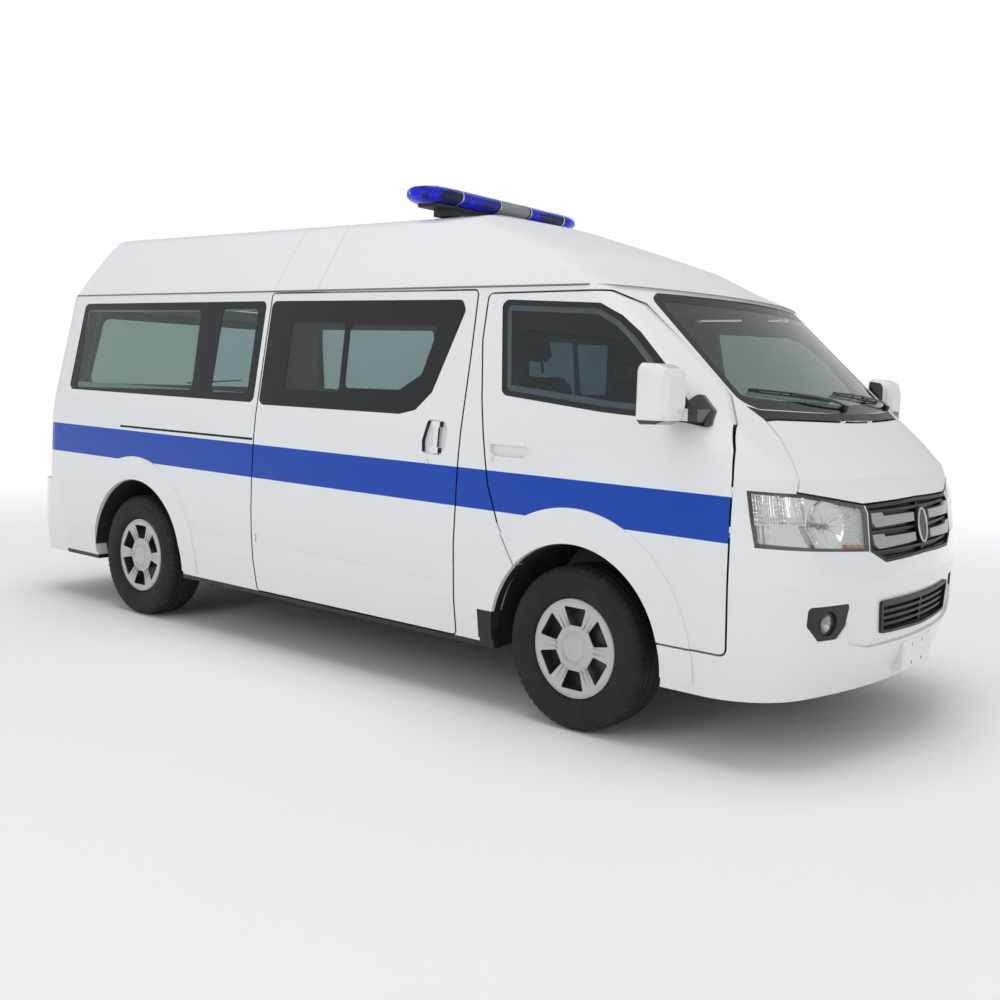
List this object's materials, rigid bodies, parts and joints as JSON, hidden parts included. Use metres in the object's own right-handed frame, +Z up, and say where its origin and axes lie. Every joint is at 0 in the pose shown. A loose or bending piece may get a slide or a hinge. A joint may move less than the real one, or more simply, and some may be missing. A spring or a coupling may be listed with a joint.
{
  "type": "high-roof van ambulance",
  "caption": "High-roof panel van ambulance with a side sliding door, lift-up tailgate, steered front wheels and a blue light bar.",
  "frame": {"origin": "on the ground under the middle of the vehicle: mid length, on the centre plane, at the bottom of the tyres", "axes": "+X forward, +Y to the vehicle's left, +Z up"},
  "size_m": [5.34, 2.299, 2.358],
  "materials": {
    "cast_iron": "matte",
    "chassis_black": "satin",
    "floor_metal": "satin",
    "grille_plastic": "satin",
    "interior_panel": "satin",
    "interior_plastic": "matte",
    "lamp_blue": "gloss",
    "lamp_clear": "gloss",
    "lamp_red": "gloss",
    "rubber": "matte",
    "seat_fabric": "matte",
    "seat_vinyl": "satin",
    "silver_plastic": "satin",
    "tinted_glass": "gloss",
    "tyre": "matte",
    "wheel_metal": "satin",
    "white_paint": "gloss",
    "white_plastic": "gloss"
  },
  "bodies": {
    "vehicle_body": {"bench_seat": "seat_vinyl", "bulkhead": "interior_panel", "chassis_frame": "chassis_black", "dashboard": "interior_plastic", "engine_block": "cast_iron", "floor": "floor_metal", "fog_lamp_bezels": "grille_plastic", "fog_lamps": "lamp_clear", "front_bumper": "white_paint", "front_frame": "white_paint", "front_seats": "seat_fabric", "front_suspension": "chassis_black", "grille_bars": "silver_plastic", "grilles": "grille_plastic", "headlights": "lamp_clear", "left_side": "white_paint", "light_bar": "lamp_blue", "mud_flaps": "rubber", "rear_axle": "chassis_black", "rear_bumper": "white_paint", "right_side": "white_paint", "roof": "white_paint", "side_glass": "tinted_glass", "sliding_door": "white_paint", "sliding_door_glass": "tinted_glass", "tail_lamps": "lamp_red", "windscreen": "tinted_glass"},
    "right_front_door": {"right_door": "white_paint", "right_door_glass": "tinted_glass", "right_mirror": "white_plastic"},
    "left_front_door": {"left_door": "white_paint", "left_door_glass": "tinted_glass", "left_mirror": "white_plastic"},
    "rear_door": {"tailgate": "white_paint", "tailgate_glass": "tinted_glass"},
    "bonnet_lid": {"bonnet": "white_paint"},
    "right_steering_knuckle": {"front_right_knuckle": "chassis_black"},
    "left_steering_knuckle": {"front_left_knuckle": "chassis_black"},
    "front_right_road_wheel": {"front_right_tyre": "tyre", "front_right_wheel": "wheel_metal"},
    "front_left_road_wheel": {"front_left_tyre": "tyre", "front_left_wheel": "wheel_metal"},
    "rear_right_road_wheel": {"rear_right_tyre": "tyre", "rear_right_wheel": "wheel_metal"},
    "rear_left_road_wheel": {"rear_left_tyre": "tyre", "rear_left_wheel": "wheel_metal"},
    "driver_steering_wheel": {"steering_wheel": "interior_plastic"}
  },
  "joints": [
    {"name": "right_front_door_hinge", "type": "hinge", "parent": "vehicle_body", "child": "right_front_door", "pos_m": [2.266, -0.949, 0.75], "axis": [0, 0.0175, 0.9998], "range_deg": [0, 68]},
    {"name": "left_front_door_hinge", "type": "hinge", "parent": "vehicle_body", "child": "left_front_door", "pos_m": [2.266, 0.949, 0.75], "axis": [0, 0.0175, -0.9998], "range_deg": [0, 68]},
    {"name": "rear_door_hinge", "type": "hinge", "parent": "vehicle_body", "child": "rear_door", "pos_m": [-2.482, 0, 1.813], "axis": [0, 1, 0], "range_deg": [0, 88]},
    {"name": "bonnet_hinge", "type": "hinge", "parent": "vehicle_body", "child": "bonnet_lid", "pos_m": [2.326, 0, 1.2963], "axis": [0, -1, 0], "range_deg": [0, 50]},
    {"name": "right_steering_pivot", "type": "hinge", "parent": "vehicle_body", "child": "right_steering_knuckle", "pos_m": [1.55, -0.735, 0.338], "axis": [0, 0, 1], "range_deg": [-28, 28]},
    {"name": "left_steering_pivot", "type": "hinge", "parent": "vehicle_body", "child": "left_steering_knuckle", "pos_m": [1.55, 0.735, 0.338], "axis": [0, 0, 1], "range_deg": [-28, 28]},
    {"name": "steering_wheel_turn", "type": "hinge", "parent": "vehicle_body", "child": "driver_steering_wheel", "pos_m": [1.85, 0.4, 1.13], "axis": [-0.5736, 0, 0.8192], "range_deg": [-448, 448]},
    {"name": "front_right_wheel_spin", "type": "hinge", "parent": "right_steering_knuckle", "child": "front_right_road_wheel", "pos_m": [1.55, -0.825, 0.338], "axis": [0, 1, 0], "continuous": true},
    {"name": "front_left_wheel_spin", "type": "hinge", "parent": "left_steering_knuckle", "child": "front_left_road_wheel", "pos_m": [1.55, 0.825, 0.338], "axis": [0, 1, 0], "continuous": true},
    {"name": "rear_right_wheel_spin", "type": "hinge", "parent": "vehicle_body", "child": "rear_right_road_wheel", "pos_m": [-1.56, -0.825, 0.338], "axis": [0, 1, 0], "continuous": true},
    {"name": "rear_left_wheel_spin", "type": "hinge", "parent": "vehicle_body", "child": "rear_left_road_wheel", "pos_m": [-1.56, 0.825, 0.338], "axis": [0, 1, 0], "continuous": true}
  ],
  "couplings": [
    {"joint": "left_steering_pivot", "follows": "right_steering_pivot", "ratio": 1},
    {"joint": "steering_wheel_turn", "follows": "right_steering_pivot", "ratio": 16}
  ]
}
